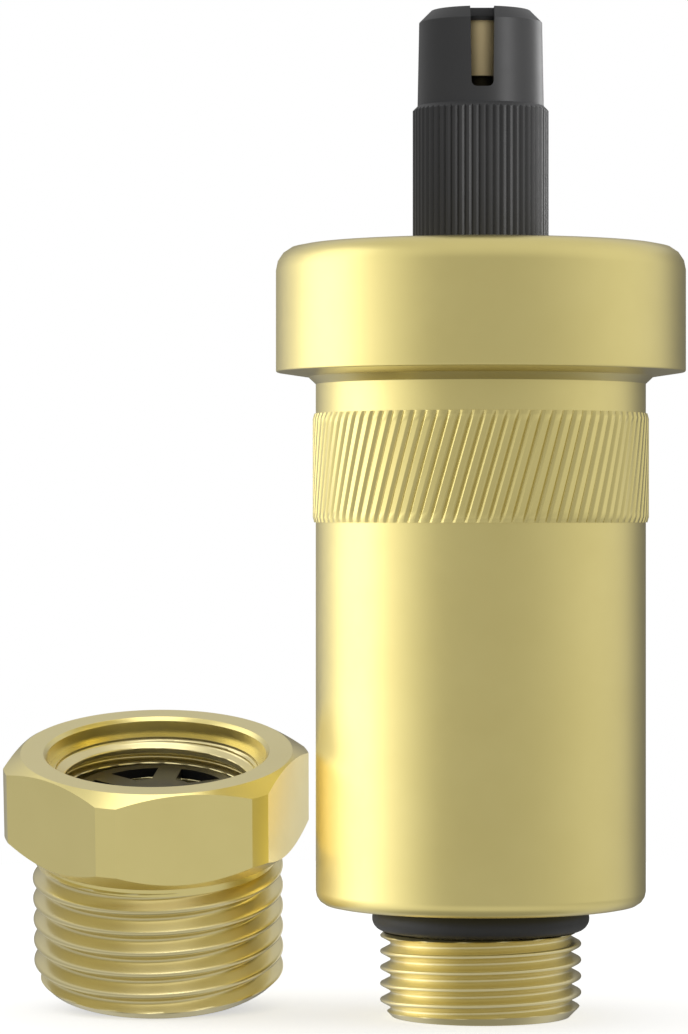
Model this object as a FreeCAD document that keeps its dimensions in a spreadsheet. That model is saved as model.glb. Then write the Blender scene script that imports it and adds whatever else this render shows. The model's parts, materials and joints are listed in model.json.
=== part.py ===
# Air release valve: a brass float vent with a screw cap, and the check-valve adapter that it screws into.
# Millimetres. The origin is the centre of the vent's thread end, and +Z runs up the vent's axis.

import FreeCAD, Part
import math
import os
import re
import Sketcher
from FreeCAD import Placement, Rotation, Vector

# Driving sizes. Heights of the vent are above its thread end, and heights of the adapter above its own.
SIZES = {
    # Male inlet thread G 3/8 and its sealing ring
    "thread_radius": 8.331,
    "thread_chamfer": 0.6,
    "undercut_radius": 6.85,
    "inlet_radius": 5.5,
    "ring_section": 2.1,
    "ring_room": 0.1,
    # Casing
    "base_height": 9.2,
    "base_fillet": 1.2,
    "floor_thickness": 2.0,
    "casing_radius": 13.66,
    "casing_height": 43.7,
    "chamber_radius": 11.6,
    "cone_drop": 0.6,
    "cone_rise": 0.45,
    "shoulder_radius": 14.3,
    "neck_radius": 13.0,
    # Knurled band, whose ridges slope to the right as they rise
    "band_drop": 3.05,
    "band_height": 9.0,
    "band_relief": 0.25,
    "band_chamfer": 0.12,
    "knurl_ridges": 90,
    "knurl_slope": 16.0,
    "knurl_floor": 0.02,
    "knurl_floor_width": 0.34,
    "knurl_mouth_width": 0.52,
    "knurl_over": 0.1,
    # Cover
    "cover_radius": 16.96,
    "cover_height": 10.8,
    "cover_chamfer": 0.4,
    "cover_fillet": 2.0,
    "roof_thickness": 2.5,
    "cavity_radius": 11.0,
    "cavity_height": 1.2,
    "gasket_thickness": 1.0,
    "gasket_inner_radius": 11.2,
    # Nozzle
    "stem_radius": 3.5,
    "relief_radius": 2.0,
    "relief_length": 1.55,
    "head_radius": 2.5,
    "head_length": 4.62,
    "vent_bore_radius": 1.2,
    "orifice_radius": 0.75,
    "orifice_length": 2.5,
    "flange_radius": 4.6,
    "flange_thickness": 1.0,
    "washer_thickness": 1.0,
    "washer_radius": 5.0,
    "seat_lip_radius": 1.6,
    "seat_lip": 0.45,
    # Screw cap
    "cap_gap": 0.1,
    "cap_height": 19.5,
    "cap_plain_height": 7.9,
    "cap_grip_radius": 5.63,
    "grip_ridges": 58,
    "grip_groove": 0.27,
    "grip_groove_width": 0.5,
    "cap_step": 0.4,
    "cap_waist_radius": 5.23,
    "cap_shoulder_radius": 5.1,
    "cap_crown_radius": 4.1,
    "cap_crown_height": 1.0,
    "cap_roof": 0.7,
    "cap_seal_thickness": 0.33,
    "cap_bore_radius": 2.9,
    "cap_thread_relief": 0.3,
    "slot_depth": 6.7,
    "slot_bottom_width": 1.8,
    "slot_top_width": 2.0,
    "slot_corner": 0.45,
    "slot_web_radius": 2.5,
    # Lever mechanism: the pivot, the plunger on the vent's axis and the hook on the other side
    "pivot_offset": 4.5,
    "hook_offset": 6.0,
    "float_travel": 4.0,
    "pivot_pin_radius": 0.75,
    "pivot_pin_length": 9.6,
    "lever_inside": 4.6,
    "lever_strip": 0.8,
    "lever_end_radius": 1.5,
    "lever_tip": 1.5,
    "lever_tip_height": 2.6,
    "lever_bridge": 1.0,
    "lever_bridge_gap": 0.35,
    "cross_pin_radius": 0.5,
    "plunger_radius": 1.1,
    "plunger_guide_reach": 2.5,
    "plunger_collar_radius": 2.0,
    "plunger_collar": 0.6,
    "collar_to_pin": 1.6,
    "pin_to_head": 1.2,
    "plunger_head": 0.8,
    "pad_radius": 1.9,
    "pad_thickness": 1.0,
    "pad_gap": 0.04,
    "plunger_spring_radius": 1.65,
    "plunger_spring_wire": 0.4,
    "plunger_spring_length": 2.8,
    "plunger_spring_turns": 3,
    # Bracket
    "bracket_flange_radius": 12.15,
    "bracket_flange_inner": 9.0,
    "bracket_flange": 1.0,
    "bracket_wall": 0.8,
    "bracket_gap": 0.5,
    "bracket_floor": 1.0,
    "bracket_foot_near": 6.2,
    "bracket_foot_far": 3.2,
    "bracket_shoulder": 10.0,
    "bracket_shoulder_depth": 2.5,
    # Float
    "float_clearance": 0.6,
    "float_headroom": 0.95,
    "float_wall": 1.2,
    "float_fillet": 1.0,
    "hook_radius": 0.6,
    "hook_stem_radius": 0.7,
    "hook_foot_radius": 1.8,
    "hook_foot": 0.8,
    # Baffle in the inlet
    "baffle_bottom": 5.0,
    "baffle_rib": 1.0,
    "baffle_clearance": 0.8,
    "baffle_arm": 1.4,
    # Adapter: G 1/2 male thread, hexagon and G 3/8 socket
    "adapter_thread_radius": 10.4775,
    "adapter_thread_chamfer": 0.65,
    "adapter_thread_top": 11.1,
    "adapter_neck_radius": 9.9,
    "hex_bottom": 11.6,
    "hex_base_radius": 10.7,
    "hex_lower_chamfer": 1.65,
    "hex_width": 23.0,
    "hex_turned_radius": 12.8,
    "hex_upper_chamfer": 0.87,
    "hex_top_radius": 11.3,
    "hex_yaw": 13.5,
    "adapter_height": 20.0,
    "mouth_chamfer": 0.15,
    "ring_seat_radius": 9.1,
    "ring_seat_depth": 1.5,
    "socket_radius": 7.475,
    "socket_chamfer": 0.6,
    "socket_relief_radius": 8.4,
    "socket_relief": 1.2,
    "socket_depth": 10.0,
    "spring_bore_radius": 5.6,
    "ledge_radius": 4.2,
    "ledge_thickness": 1.2,
    "seat_height": 5.0,
    "outlet_radius": 8.0,
    # Check-valve poppet
    "nose_drop": 2.58,
    "nose_radius": 1.5,
    "disc_radius": 7.0,
    "disc_thickness": 2.2,
    "poppet_seal_section": 1.5,
    "poppet_seal_radius": 5.5,
    "poppet_seal_gap": 0.1,
    "poppet_stem_radius": 1.5,
    "spider_depth": 3.5,
    "spider_thickness": 0.8,
    "spider_ring_radius": 7.05,
    "spider_ring_width": 1.0,
    "spider_hub_radius": 3.3,
    "spider_spoke": 2.0,
    "spider_spokes": 6,
    "spider_yaw": 22.0,
    "hub_length": 4.0,
    "hub_socket": 3.0,
    "poppet_spring_radius": 4.8,
    "poppet_spring_wire": 0.6,
    "poppet_spring_turns": 5,
    # Where the adapter stands beside the vent
    "adapter_place_x": -26.9,
    "adapter_place_y": 6.3,
    # Clearances
    "fit_gap": 0.05,
    "seat_gap": 0.02,
    "hook_play": 0.2,
    "hook_slide": 0.4,
    "pin_play": 0.12,
    "pin_slide": 0.3,
}

doc = FreeCAD.newDocument("AirReleaseValve")
sheet = doc.addObject("Spreadsheet::Sheet", "Sizes")
for row, (name, value) in enumerate(SIZES.items(), start=1):
    sheet.set("A%d" % row, name)
    sheet.set("B%d" % row, str(value))
    sheet.setAlias("B%d" % row, name)
doc.recompute()

pieces = []


def size(name):
    return float(sheet.get(name))


def rule(text):
    """A sum of sizes, written with the sheet's name in front of each size"""
    def named(word):
        return "Sizes." + word.group() if word.group() in SIZES else word.group()
    return re.sub(r"[a-z][a-z_]+", named, text)


def bind(item, **places):
    for place, text in places.items():
        item.setExpression(place, rule(text))


def make(kind, name, **places):
    """A primitive of the given kind with its measures bound to the sheet"""
    item = doc.addObject(kind, name)
    bind(item, **places)
    return item


def place(item, x="0", y="0", z="0", turn=None):
    """Put an item at bound coordinates, after an optional turn given as an axis and a bound angle"""
    if turn:
        axis, angle = turn
        item.Placement = Placement(Vector(), Rotation(Vector(*axis), 1))
        item.setExpression(".Placement.Rotation.Angle", rule(angle))
    item.setExpression(".Placement.Base.x", rule(x))
    item.setExpression(".Placement.Base.y", rule(y))
    item.setExpression(".Placement.Base.z", rule(z))


def keep(item, label):
    """Record a finished piece under the name that its file gets"""
    item.Label = label
    pieces.append(item)
    return item


def new_body(name):
    return doc.addObject("PartDesign::Body", name + "_solid")


def plane(body, role):
    return [feature for feature in body.Origin.OriginFeatures if feature.Role == role][0]


def sketch_on(body, role, name, offset=None):
    sketch = body.newObject("Sketcher::SketchObject", name)
    sketch.AttachmentSupport = (plane(body, role), "")
    sketch.MapMode = "FlatFace"
    if offset:
        sketch.setExpression(".AttachmentOffset.Base.z", rule(offset))
    return sketch


def outline(sketch, corners):
    """Draw a closed outline whose corners are pairs of bound coordinates"""
    count = len(corners)
    angles = [2 * math.pi * i / count for i in range(count)]
    spots = [Vector(count + math.cos(angle), count + math.sin(angle), 0) for angle in angles]
    first = sketch.GeometryCount
    for i in range(count):
        sketch.addGeometry(Part.LineSegment(spots[i], spots[(i + 1) % count]), False)
    for i in range(count):
        here, after = first + i, first + (i + 1) % count
        sketch.addConstraint(Sketcher.Constraint("Coincident", here, 2, after, 1))
    for i, corner in enumerate(corners):
        for kind, axis, text, spot in zip(("DistanceX", "DistanceY"), (-2, -1), corner, spots[i]):
            if text == "0":
                sketch.addConstraint(Sketcher.Constraint("PointOnObject", first + i, 1, axis))
            else:
                index = sketch.addConstraint(Sketcher.Constraint(kind, -1, 1, first + i, 1, spot))
                sketch.setExpression("Constraints[%d]" % index, rule(text))


def circle(sketch, x, y, radius):
    """Draw a circle with bound centre and radius"""
    spot = Vector(5, 5, 0)
    item = sketch.addGeometry(Part.Circle(spot, Vector(0, 0, 1), 1), False)
    for kind, axis, text in (("DistanceX", -2, x), ("DistanceY", -1, y)):
        if text == "0":
            sketch.addConstraint(Sketcher.Constraint("PointOnObject", item, 3, axis))
        else:
            index = sketch.addConstraint(Sketcher.Constraint(kind, -1, 1, item, 3, 5))
            sketch.setExpression("Constraints[%d]" % index, rule(text))
    index = sketch.addConstraint(Sketcher.Constraint("Radius", item, 1))
    sketch.setExpression("Constraints[%d]" % index, rule(radius))


def revolve(body, name, corners):
    """Turn an outline in the XZ plane about the body's Z axis"""
    sketch = sketch_on(body, "XZ_Plane", name + "_profile")
    outline(sketch, corners)
    turn = body.newObject("PartDesign::Revolution", name + "_turn")
    turn.Profile = sketch
    turn.ReferenceAxis = (sketch, ["V_Axis"])
    turn.Angle = 360
    return turn


def pad(body, sketch, name, length):
    """Thicken a sketch by the same amount to both sides of its plane"""
    item = body.newObject("PartDesign::Pad", name)
    item.Profile = sketch
    item.Midplane = True
    bind(item, Length=length)
    return item


def pocket(body, sketch, name, length):
    """Cut a sketch by the same amount to both sides of its plane"""
    item = body.newObject("PartDesign::Pocket", name)
    item.Profile = sketch
    item.Midplane = True
    bind(item, Length=length)
    return item


def round_edges(body, feature, name, radius, choose):
    """Fillet the edges that are chosen from those of a feature"""
    doc.recompute()
    edges = feature.Shape.Edges
    chosen = choose(edges)
    names = ["Edge%d" % (i + 1) for i, edge in enumerate(edges) if any(edge.isSame(one) for one in chosen)]
    item = body.newObject("PartDesign::Fillet", name)
    item.Base = (feature, names)
    bind(item, Radius=radius)
    return item


def level_with(edges, end):
    """Those edges that lie at the height of the highest or the lowest of them"""
    height = end(edge.BoundBox.ZMin for edge in edges)
    return [edge for edge in edges if abs(edge.BoundBox.ZMin - height) < 1e-4]


def rim(radius, end):
    """A choice of the highest or lowest circle of that radius about the Z axis"""
    def choose(edges):
        circles = [edge for edge in edges if isinstance(edge.Curve, Part.Circle)]
        return level_with([edge for edge in circles if abs(edge.Curve.Radius - radius) < 1e-4], end)
    return choose


def around(body, feature, name, count, angle="360"):
    """Repeat a feature about the body's Z axis"""
    item = body.newObject("PartDesign::PolarPattern", name)
    item.Originals = [feature]
    item.Axis = (plane(body, "Z_Axis"), [""])
    bind(item, Angle=angle, Occurrences=count)
    body.Tip = item
    return item


# Heights and angles that follow from the driving sizes

thread_top = "base_height - ring_section - ring_room"
floor_height = "base_height + floor_thickness"
cover_bottom = "base_height + casing_height"
cone_bottom = cover_bottom + " - cone_drop"
band_top = cover_bottom + " - band_drop"
band_bottom = band_top + " - band_height"
cover_top = cover_bottom + " + cover_height"
cap_top = cover_top + " + cap_height"
head_top = cap_top + " - cap_roof - cap_seal_thickness"
head_bottom = head_top + " - head_length"
stem_top = head_bottom + " - relief_length"
roof_bottom = cover_top + " - roof_thickness"
gasket_top = roof_bottom + " - cavity_height"
neck_top = gasket_top + " - gasket_thickness"
flange_top = roof_bottom + " - washer_thickness"
flange_bottom = flange_top + " - flange_thickness"
seat = flange_bottom + " - seat_lip"
lever_ratio = "pivot_offset / (pivot_offset + hook_offset)"
plunger_travel = "float_travel * " + lever_ratio
pad_top = seat + " - pad_gap - " + plunger_travel
head_top_rest = pad_top + " - pad_thickness"
pin_rest = head_top_rest + " - plunger_head - pin_to_head"
pivot_height = pin_rest + " + " + plunger_travel + " / 2"
lever_tilt = "atan(float_travel / 2 / (pivot_offset + hook_offset))"
collar_bottom = pin_rest + " - collar_to_pin"
bracket_floor_top = collar_bottom + " - plunger_spring_length"
bracket_bottom = bracket_floor_top + " - bracket_floor"
float_bottom = floor_height + " + baffle_arm + fit_gap"
float_top = bracket_bottom + " - float_travel - float_headroom"
float_radius = "chamber_radius - float_clearance"
hook_height = pivot_height + " - float_travel / 2"

# The adapter leans on the floor between its thread's rim and the poppet's round nose
rim_radius = "(adapter_thread_radius - adapter_thread_chamfer)"
nose_centre = "(nose_drop - nose_radius)"
nose_reach = "sqrt(%s * %s + %s * %s)" % (rim_radius, rim_radius, nose_centre, nose_centre)
lean = "atan(%s / %s) + asin(nose_radius / %s)" % (nose_centre, rim_radius, nose_reach)
rim_lift = "%s * sin(%s)" % (rim_radius, lean)


# Casing

band_radius = "casing_radius + band_relief"
body = new_body("casing")
turned = revolve(body, "casing", [
    ("inlet_radius", "0"),
    ("thread_radius - thread_chamfer", "0"),
    ("thread_radius", "thread_chamfer"),
    ("thread_radius", thread_top),
    ("undercut_radius", thread_top),
    ("undercut_radius", "base_height"),
    ("casing_radius", "base_height"),
    ("casing_radius", band_bottom),
    (band_radius + " - band_chamfer", band_bottom),
    (band_radius, band_bottom + " + band_chamfer"),
    (band_radius, band_top + " - band_chamfer"),
    (band_radius + " - band_chamfer", band_top),
    ("casing_radius", band_top),
    ("casing_radius", cone_bottom),
    ("shoulder_radius", cone_bottom + " + cone_rise"),
    ("shoulder_radius", cover_bottom),
    ("neck_radius", cover_bottom),
    ("neck_radius", neck_top),
    ("bracket_flange_radius + fit_gap", neck_top),
    ("bracket_flange_radius + fit_gap", neck_top + " - bracket_flange"),
    ("chamber_radius", neck_top + " - bracket_flange"),
    ("chamber_radius", floor_height),
    ("inlet_radius", floor_height),
])
round_edges(body, turned, "casing_base_fillet", "base_fillet", rim(size("casing_radius"), min))

# The diagonal knurl: a sloping groove across the band, cut again all the way round

section = sketch_on(body, "XY_Plane", "knurl_groove_section", band_bottom + " + band_height / 2")
outline(section, [
    ("casing_radius + knurl_floor", "-knurl_floor_width / 2"),
    (band_radius + " + knurl_over", "-knurl_mouth_width / 2"),
    (band_radius + " + knurl_over", "knurl_mouth_width / 2"),
    ("casing_radius + knurl_floor", "knurl_floor_width / 2"),
])
groove = pocket(body, section, "knurl_groove", "band_height + knurl_over * 2")
groove.UseCustomVector = True
groove.Direction = Vector(0, 1, 1)
groove.setExpression("Direction.y", rule("tan(knurl_slope)"))
around(body, groove, "diagonal_knurl", "knurl_ridges")
keep(body, "casing")

# Cover with its gasket

body = new_body("cover")
turned = revolve(body, "cover", [
    ("neck_radius + fit_gap", cover_bottom),
    ("cover_radius - cover_chamfer", cover_bottom),
    ("cover_radius", cover_bottom + " + cover_chamfer"),
    ("cover_radius", cover_top),
    ("stem_radius + fit_gap", cover_top),
    ("stem_radius + fit_gap", roof_bottom),
    ("cavity_radius", roof_bottom),
    ("cavity_radius", gasket_top),
    ("neck_radius + fit_gap", gasket_top),
])
round_edges(body, turned, "cover_top_fillet", "cover_fillet", rim(size("cover_radius"), max))
keep(body, "cover")


def ring(label, outer, inner, bottom, height):
    """A flat washer made of a disc and the hole through it"""
    disc = make("Part::Cylinder", label + "_disc", Radius=outer, Height=height)
    place(disc, z=bottom)
    hole = make("Part::Cylinder", label + "_hole", Radius=inner, Height=height)
    place(hole, z=bottom)
    item = doc.addObject("Part::Cut", label + "_ring")
    item.Base = disc
    item.Tool = hole
    return keep(item, label)


ring("cover_gasket", "neck_radius", "gasket_inner_radius", neck_top, "gasket_thickness")
ring("nozzle_washer", "washer_radius", "stem_radius + fit_gap", flange_top, "washer_thickness")

seal = make("Part::Torus", "base_o_ring_torus",
            Radius1="undercut_radius + ring_section / 2 + fit_gap", Radius2="ring_section / 2")
place(seal, z="base_height - ring_section / 2 - seat_gap")
keep(seal, "base_o_ring")

# Nozzle: the seat of the shutter below, the stem that the cap screws on, and its head

body = new_body("vent_nozzle")
revolve(body, "vent_nozzle", [
    ("orifice_radius", seat),
    ("seat_lip_radius", seat),
    ("seat_lip_radius", flange_bottom),
    ("flange_radius", flange_bottom),
    ("flange_radius", flange_top),
    ("stem_radius", flange_top),
    ("stem_radius", stem_top),
    ("relief_radius", stem_top),
    ("relief_radius", head_bottom),
    ("head_radius", head_bottom),
    ("head_radius", head_top),
    ("vent_bore_radius", head_top),
    ("vent_bore_radius", seat + " + orifice_length"),
    ("orifice_radius", seat + " + orifice_length"),
])
keep(body, "vent_nozzle")

# Screw cap with its two slots and its ridged grip, and the seal disc under its roof

cap_bottom = cover_top + " + cap_gap"
waist_bottom = cap_top + " - cap_plain_height"
thread_end = stem_top + " + cap_thread_relief"
body = new_body("vent_cap")
revolve(body, "vent_cap", [
    ("stem_radius + fit_gap", cap_bottom),
    ("cap_grip_radius", cap_bottom),
    ("cap_grip_radius", waist_bottom + " - cap_step"),
    ("cap_waist_radius", waist_bottom),
    ("cap_shoulder_radius", cap_top + " - cap_crown_height"),
    ("cap_crown_radius", cap_top),
    ("0", cap_top),
    ("0", cap_top + " - cap_roof"),
    ("cap_bore_radius", cap_top + " - cap_roof"),
    ("cap_bore_radius", thread_end),
    ("stem_radius + fit_gap", thread_end),
])
slot_bottom = cap_top + " - slot_depth"
slot_top = cap_top + " + cap_roof"
slot = sketch_on(body, "XZ_Plane", "vent_cap_slot_outline", "slot_web_radius")
outline(slot, [
    ("-slot_bottom_width / 2", slot_bottom),
    ("slot_bottom_width / 2", slot_bottom),
    ("slot_top_width / 2", slot_top),
    ("-slot_top_width / 2", slot_top),
])
cut = body.newObject("PartDesign::Pocket", "vent_cap_slot")
cut.Profile = slot
bind(cut, Length="cap_grip_radius")
cut.Reversed = True
slots = around(body, cut, "vent_cap_slots", "2")


def slot_corners(edges):
    """The straight edges that run radially along the bottom of the slots"""
    straight = [edge for edge in edges if isinstance(edge.Curve, Part.Line)]
    return level_with([edge for edge in straight if abs(edge.Curve.Direction.y) > 0.99], min)


round_edges(body, slots, "vent_cap_slot_fillet", "slot_corner", slot_corners)
groove = sketch_on(body, "XY_Plane", "vent_cap_groove_outline", "(%s + %s) / 2" % (cap_bottom, waist_bottom))
outline(groove, [
    ("cap_grip_radius - grip_groove", "0"),
    ("cap_grip_radius + grip_groove", "-grip_groove_width"),
    ("cap_grip_radius + grip_groove", "grip_groove_width"),
])
cut = pocket(body, groove, "vent_cap_groove", waist_bottom + " - (%s)" % cap_bottom)
around(body, cut, "vent_cap_grip", "grip_ridges")
keep(body, "vent_cap")

disc = make("Part::Cylinder", "cap_seal_disc", Radius="cap_bore_radius - fit_gap * 2",
            Height="cap_seal_thickness")
place(disc, z=head_top)
keep(disc, "cap_seal")

# Bracket: two walls and a floor hung from a flange that the gasket clamps

bracket_inside = "lever_inside + lever_strip * 2 + bracket_gap * 2"
body = new_body("lever_bracket")
walls = sketch_on(body, "XZ_Plane", "bracket_wall_outline")
flange_underside = neck_top + " - bracket_flange"
outline(walls, [
    ("-bracket_foot_far", bracket_bottom),
    ("bracket_foot_near", bracket_bottom),
    ("bracket_shoulder", flange_underside + " - bracket_shoulder_depth"),
    ("bracket_shoulder", neck_top),
    ("-bracket_shoulder", neck_top),
    ("-bracket_shoulder", flange_underside + " - bracket_shoulder_depth"),
])
pad(body, walls, "bracket_block", bracket_inside + " + bracket_wall * 2")
gap = sketch_on(body, "XZ_Plane", "bracket_gap_outline")
outline(gap, [
    ("-bracket_shoulder * 2", bracket_floor_top),
    ("bracket_shoulder * 2", bracket_floor_top),
    ("bracket_shoulder * 2", neck_top + " + bracket_floor"),
    ("-bracket_shoulder * 2", neck_top + " + bracket_floor"),
])
pocket(body, gap, "bracket_gap_cut", bracket_inside)
revolve(body, "bracket_flange_ring", [
    ("bracket_flange_inner", flange_underside),
    ("bracket_flange_radius", flange_underside),
    ("bracket_flange_radius", neck_top),
    ("bracket_flange_inner", neck_top),
])
ears = sketch_on(body, "XZ_Plane", "bracket_pivot_outline")
circle(ears, "pivot_offset", pivot_height, "pivot_pin_radius + seat_gap")
pocket(body, ears, "bracket_pivot_hole", bracket_inside + " + bracket_wall * 3")
guide = sketch_on(body, "XY_Plane", "bracket_guide_outline", bracket_floor_top)
circle(guide, "0", "0", "plunger_radius + fit_gap")
pocket(body, guide, "bracket_guide_hole", "bracket_floor * 3")
keep(body, "lever_bracket")

pin = make("Part::Cylinder", "lever_pivot_pin_rod", Radius="pivot_pin_radius", Height="pivot_pin_length")
place(pin, x="pivot_offset", y="pivot_pin_length / 2", z=pivot_height, turn=((1, 0, 0), "90"))
keep(pin, "lever_pivot_pin")

# Lever, drawn level with its pivot at the origin and tilted to where the float at rest holds it

lever_arm = "pivot_offset + hook_offset"
lever_outside = "lever_inside + lever_strip * 2"
body = new_body("lever")
strips = sketch_on(body, "XZ_Plane", "lever_outline")
outline(strips, [
    ("lever_end_radius", "-lever_end_radius"),
    ("lever_end_radius", "lever_end_radius"),
    ("-(%s)" % lever_arm, "lever_tip_height / 2"),
    ("-(%s) - lever_tip" % lever_arm, "lever_tip_height / 4"),
    ("-(%s) - lever_tip" % lever_arm, "-lever_tip_height / 4"),
    ("-(%s)" % lever_arm, "-lever_tip_height / 2"),
])
pad(body, strips, "lever_block", lever_outside)
gap = sketch_on(body, "XZ_Plane", "lever_gap_outline")
outline(gap, [
    ("lever_end_radius * 2", "-lever_end_radius * 2"),
    ("lever_end_radius * 2", "lever_end_radius * 2"),
    ("-(%s) * 2" % lever_arm, "lever_end_radius * 2"),
    ("-(%s) * 2" % lever_arm, "-lever_end_radius * 2"),
])
pocket(body, gap, "lever_gap_cut", "lever_inside")
for side, sign in (("near", "+"), ("far", "-")):
    bridge = sketch_on(body, "XZ_Plane", "lever_%s_bridge_outline" % side)
    middle = "-pivot_offset %s (plunger_collar_radius + lever_bridge_gap + lever_bridge / 2)" % sign
    outline(bridge, [
        (middle + " - lever_bridge / 2", "-lever_bridge / 2"),
        (middle + " + lever_bridge / 2", "-lever_bridge / 2"),
        (middle + " + lever_bridge / 2", "lever_bridge / 2"),
        (middle + " - lever_bridge / 2", "lever_bridge / 2"),
    ])
    pad(body, bridge, "lever_%s_bridge" % side, lever_outside + " - lever_strip")
holes = sketch_on(body, "XZ_Plane", "lever_pivot_outline")
circle(holes, "0", "0", "pivot_pin_radius + fit_gap")
pocket(body, holes, "lever_pivot_hole", lever_outside + " * 2")
for name, centre, radius, play, slide in (
    ("lever_pin_slot", "pivot_offset", "cross_pin_radius", "pin_play", "pin_slide"),
    ("lever_hook_slot", lever_arm, "hook_radius", "hook_play", "hook_slide"),
):
    slots = sketch_on(body, "XZ_Plane", name + "_outline")
    outline(slots, [
        ("-(%s) - %s - %s" % (centre, radius, slide), "-%s - %s" % (radius, play)),
        ("-(%s) + %s + %s" % (centre, radius, slide), "-%s - %s" % (radius, play)),
        ("-(%s) + %s + %s" % (centre, radius, slide), "%s + %s" % (radius, play)),
        ("-(%s) - %s - %s" % (centre, radius, slide), "%s + %s" % (radius, play)),
    ])
    pocket(body, slots, name, lever_outside + " * 2")
place(body, x="pivot_offset", z=pivot_height, turn=((0, -1, 0), lever_tilt))
keep(body, "lever")

# Plunger with its cross pin, pad and spring

body = new_body("plunger")
revolve(body, "plunger", [
    ("0", bracket_floor_top + " - plunger_guide_reach"),
    ("plunger_radius", bracket_floor_top + " - plunger_guide_reach"),
    ("plunger_radius", collar_bottom),
    ("plunger_collar_radius", collar_bottom),
    ("plunger_collar_radius", collar_bottom + " + plunger_collar"),
    ("plunger_radius", collar_bottom + " + plunger_collar"),
    ("plunger_radius", head_top_rest + " - plunger_head"),
    ("plunger_collar_radius", head_top_rest + " - plunger_head"),
    ("plunger_collar_radius", head_top_rest),
    ("0", head_top_rest),
])
cross = sketch_on(body, "XZ_Plane", "plunger_pin_outline")
circle(cross, "0", pin_rest, "cross_pin_radius")
pad(body, cross, "plunger_pin", lever_outside + " + bracket_gap")
keep(body, "plunger")

disc = make("Part::Cylinder", "plunger_pad_disc", Radius="pad_radius", Height="pad_thickness")
place(disc, z=head_top_rest)
keep(disc, "plunger_pad")


def coil(label, radius, wire, length, turns, gap):
    """A wire swept along a helix that fills a length between two seats, with a gap at each end"""
    rise = "(%s - %s - 2 * %s)" % (length, wire, gap)
    path = make("Part::Helix", label + "_path", Radius=radius, Height=rise, Pitch=rise + " / " + turns)
    section = make("Part::Circle", label + "_wire", Radius=wire + " / 2")
    place(section, x=radius, turn=((1, 0, 0), "90"))
    item = doc.addObject("Part::Sweep", label + "_coil")
    item.Sections = [section]
    item.Spine = path
    item.Solid = True
    item.Frenet = True
    return keep(item, label)


spring = coil("plunger_spring", "plunger_spring_radius", "plunger_spring_wire", "plunger_spring_length",
              "plunger_spring_turns", "fit_gap")
place(spring, z=bracket_floor_top + " + plunger_spring_wire / 2 + fit_gap")

# Float with its hook

body = new_body("float")
turned = revolve(body, "float", [
    (float_radius + " - float_wall", float_bottom),
    (float_radius, float_bottom),
    (float_radius, float_top),
    ("0", float_top),
    ("0", float_top + " - float_wall"),
    (float_radius + " - float_wall", float_top + " - float_wall"),
])
round_edges(body, turned, "float_fillet", "float_fillet", rim(size("chamber_radius") - size("float_clearance"), max))
keep(body, "float")

foot = make("Part::Cylinder", "hook_foot_disc", Radius="hook_foot_radius", Height="hook_foot")
place(foot, x="-hook_offset", z=float_top)
stem = make("Part::Cylinder", "hook_stem_rod", Radius="hook_stem_radius",
            Height="%s - (%s)" % (hook_height, float_top))
place(stem, x="-hook_offset", z=float_top)
bar = make("Part::Cylinder", "hook_bar_rod", Radius="hook_radius", Height=lever_outside + " + bracket_gap")
place(bar, x="-hook_offset", y="(%s + bracket_gap) / 2" % lever_outside, z=hook_height,
      turn=((1, 0, 0), "90"))
hook = doc.addObject("Part::MultiFuse", "hook_pieces")
hook.Shapes = [foot, stem, bar]
keep(hook, "float_hook")

# Inlet baffle: a cross whose arms lie on the chamber's floor and whose fins fill the inlet

baffle_reach = "chamber_radius - baffle_clearance"
body = new_body("inlet_baffle")
fin = sketch_on(body, "XZ_Plane", "baffle_outline")
outline(fin, [
    ("-inlet_radius + fit_gap * 2", "baffle_bottom"),
    ("inlet_radius - fit_gap * 2", "baffle_bottom"),
    ("inlet_radius - fit_gap * 2", floor_height),
    (baffle_reach, floor_height),
    (baffle_reach, floor_height + " + baffle_arm"),
    ("-(%s)" % baffle_reach, floor_height + " + baffle_arm"),
    ("-(%s)" % baffle_reach, floor_height),
    ("-inlet_radius + fit_gap * 2", floor_height),
])
blade = pad(body, fin, "baffle_fin", "baffle_rib")
around(body, blade, "baffle_cross", "2", "90")
keep(body, "inlet_baffle")


def stand(item, height="0"):
    """Put a piece of the adapter at a height on its leaning axis"""
    place(item, x="adapter_place_x", y="adapter_place_y - (%s) * sin(%s)" % (height, lean),
          z="%s + (%s) * cos(%s)" % (rim_lift, height, lean), turn=((1, 0, 0), lean))


# Adapter: the turned shape, and the hexagon that its upper part is cut from

socket_floor = "socket_depth + socket_relief"
turned = new_body("adapter")
revolve(turned, "adapter", [
    ("outlet_radius", "0"),
    ("adapter_thread_radius - adapter_thread_chamfer", "0"),
    ("adapter_thread_radius", "adapter_thread_chamfer"),
    ("adapter_thread_radius", "adapter_thread_top"),
    ("adapter_neck_radius", "adapter_thread_top"),
    ("adapter_neck_radius", "hex_bottom"),
    ("hex_base_radius", "hex_bottom"),
    ("hex_turned_radius", "hex_bottom + hex_lower_chamfer"),
    ("hex_turned_radius", "adapter_height - hex_upper_chamfer"),
    ("hex_top_radius", "adapter_height"),
    ("ring_seat_radius + mouth_chamfer", "adapter_height"),
    ("ring_seat_radius", "adapter_height - mouth_chamfer"),
    ("ring_seat_radius", "adapter_height - ring_seat_depth"),
    ("socket_radius + socket_chamfer", "adapter_height - ring_seat_depth"),
    ("socket_radius", "adapter_height - ring_seat_depth - socket_chamfer"),
    ("socket_radius", socket_floor),
    ("socket_relief_radius", socket_floor),
    ("socket_relief_radius", "socket_depth"),
    ("spring_bore_radius", "socket_depth"),
    ("spring_bore_radius", "seat_height + ledge_thickness"),
    ("ledge_radius", "seat_height + ledge_thickness"),
    ("ledge_radius", "seat_height"),
    ("outlet_radius", "seat_height"),
])
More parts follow.
